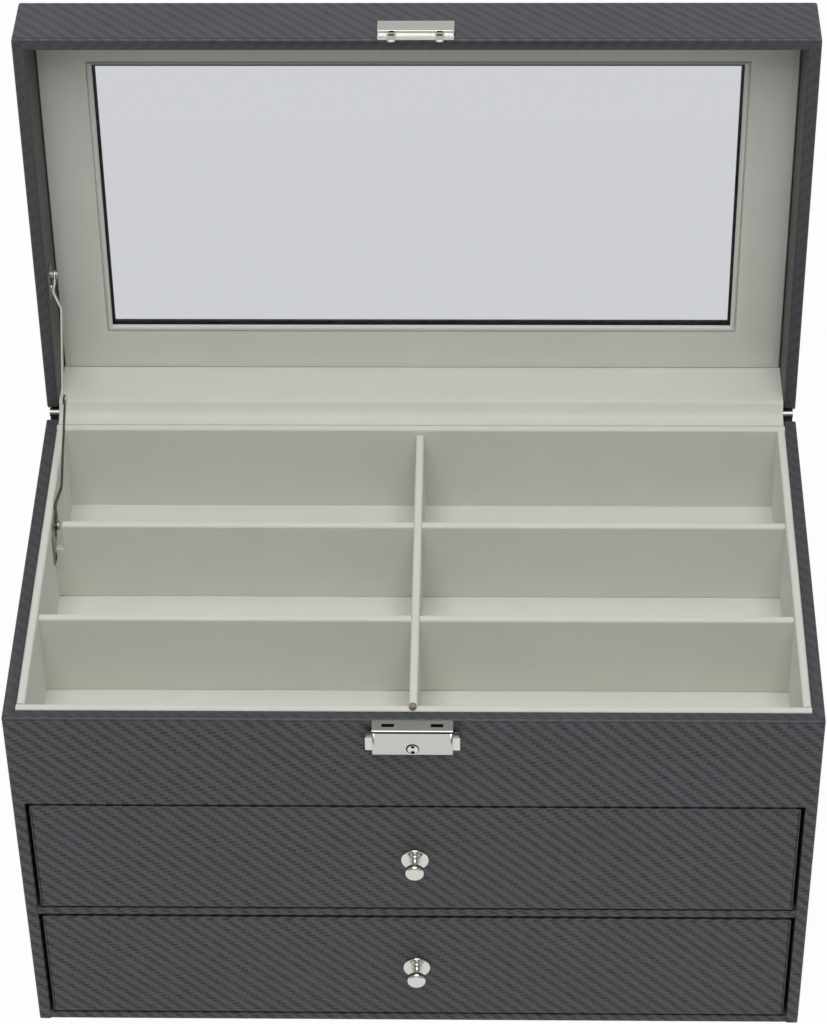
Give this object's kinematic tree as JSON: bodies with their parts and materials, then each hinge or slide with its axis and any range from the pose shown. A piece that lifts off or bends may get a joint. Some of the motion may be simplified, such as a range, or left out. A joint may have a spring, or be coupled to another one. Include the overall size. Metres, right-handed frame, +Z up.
{
  "type": "eyeglasses storage box",
  "caption": "Lidded box for eyeglasses: a divided tray under a hinged lid with a window, over pull-out drawers, with a push lock and a folding lid stay.",
  "frame": {"origin": "middle of the base's underside, on the surface that the box stands on", "axes": "+X to the right along the box's width, +Y from the drawers to the hinge, +Z up; the lid stands open at rest"},
  "size_m": [0.335, 0.2416, 0.3852],
  "materials": {
    "charcoal_leatherette": "charcoal leatherette with a woven diagonal grain, over board",
    "covered_board": "plain fibreboard, hidden",
    "ivory_velvet": "ivory velvet over board",
    "nickel_plate": "polished nickel plate on steel",
    "spring_steel": "plain spring wire",
    "grey_rubber": "matt brownish grey",
    "clear_glass": "clear polished sheet"
  },
  "bodies": {
    "base": {"side_wall_left": "charcoal_leatherette", "side_wall_right": "charcoal_leatherette", "back_wall": "charcoal_leatherette", "front_panel": "charcoal_leatherette", "bottom_board": "charcoal_leatherette", "drawer_divider": "charcoal_leatherette", "tray_shelf": "covered_board", "tray_floor": "ivory_velvet", "tray_lining_front": "ivory_velvet", "tray_lining_back": "ivory_velvet", "tray_lining_left": "ivory_velvet", "tray_lining_right": "ivory_velvet", "tray_centre_partition": "ivory_velvet", "tray_cross_partitions": "ivory_velvet", "rim_stud": "grey_rubber", "hinge_base_leaf": "nickel_plate", "hinge_pin": "nickel_plate", "base_flap": "ivory_velvet", "lock_case": "nickel_plate", "lock_screws": "nickel_plate", "stay_base_bracket": "nickel_plate", "stay_base_screws": "nickel_plate", "lock_spring_left": "spring_steel", "lock_spring_right": "spring_steel"},
    "lid": {"lid_left_wall": "charcoal_leatherette", "lid_right_wall": "charcoal_leatherette", "lid_front_wall": "charcoal_leatherette", "lid_back_wall": "charcoal_leatherette", "lid_top_frame": "charcoal_leatherette", "window_glass": "clear_glass", "lid_inner_panel": "ivory_velvet", "lid_flap": "ivory_velvet", "hinge_lid_leaf": "nickel_plate", "strike_plate": "nickel_plate", "stay_lid_bracket": "nickel_plate", "stay_lid_screws": "nickel_plate"},
    "stay_lower": {"stay_lower_arm": "nickel_plate", "stay_elbow_rivet": "nickel_plate"},
    "stay_upper": {"stay_upper_arm": "nickel_plate"},
    "lower_drawer": {"lower_drawer_front": "charcoal_leatherette", "lower_drawer_sides": "ivory_velvet", "lower_drawer_back": "ivory_velvet", "lower_drawer_floor": "ivory_velvet", "lower_drawer_centre_partition": "ivory_velvet", "lower_drawer_cross_partitions": "ivory_velvet", "lower_drawer_rosette": "nickel_plate", "lower_drawer_knob": "nickel_plate", "lower_drawer_knob_screw": "nickel_plate"},
    "upper_drawer": {"upper_drawer_front": "charcoal_leatherette", "upper_drawer_sides": "ivory_velvet", "upper_drawer_back": "ivory_velvet", "upper_drawer_floor": "ivory_velvet", "upper_drawer_centre_partition": "ivory_velvet", "upper_drawer_cross_partitions": "ivory_velvet", "upper_drawer_rosette": "nickel_plate", "upper_drawer_knob": "nickel_plate", "upper_drawer_knob_screw": "nickel_plate"},
    "lock_button_left": {"lock_button_left": "nickel_plate"},
    "lock_button_right": {"lock_button_right": "nickel_plate"},
    "lock_cylinder": {"lock_cylinder": "nickel_plate"}
  },
  "joints": [
    {"name": "lid_hinge", "type": "hinge", "parent": "base", "child": "lid", "pos_m": [0, 0.097, 0.1875], "axis": [1, 0, 0], "range_deg": [0, 92.3]},
    {"name": "stay_base_pivot", "type": "hinge", "parent": "base", "child": "stay_lower", "pos_m": [-0.1572, 0.028, 0.181], "axis": [1, 0, 0], "range_deg": [-8.4, 0]},
    {"name": "stay_lid_pivot", "type": "hinge", "parent": "lid", "child": "stay_upper", "pos_m": [-0.1596, 0.1078, 0.25712], "axis": [1, 0, 0], "range_deg": [0, 39.75]},
    {"name": "lower_drawer_slide", "type": "slide", "parent": "base", "child": "lower_drawer", "axis": [0, -1, 0], "range_m": [0, 0.15]},
    {"name": "upper_drawer_slide", "type": "slide", "parent": "base", "child": "upper_drawer", "axis": [0, -1, 0], "range_m": [0, 0.15]},
    {"name": "lock_button_left_press", "type": "slide", "parent": "base", "child": "lock_button_left", "axis": [1, 0, 0], "range_m": [0, 0.002], "stiffness_N_per_m": 300, "springref_m": -0.002, "deforming": ["lock_spring_left"]},
    {"name": "lock_button_right_press", "type": "slide", "parent": "base", "child": "lock_button_right", "axis": [-1, 0, 0], "range_m": [0, 0.002], "stiffness_N_per_m": 300, "springref_m": -0.002, "deforming": ["lock_spring_right"]},
    {"name": "lock_cylinder_turn", "type": "hinge", "parent": "base", "child": "lock_cylinder", "pos_m": [0, -0.1007, 0.1772], "axis": [0, -1, 0], "range_deg": [0, 90]}
  ],
  "couplings": [
    {"joint": "stay_base_pivot", "follows": "lid_hinge", "ratio": -0.09086},
    {"joint": "stay_lid_pivot", "follows": "lid_hinge", "ratio": 0.43054}
  ]
}
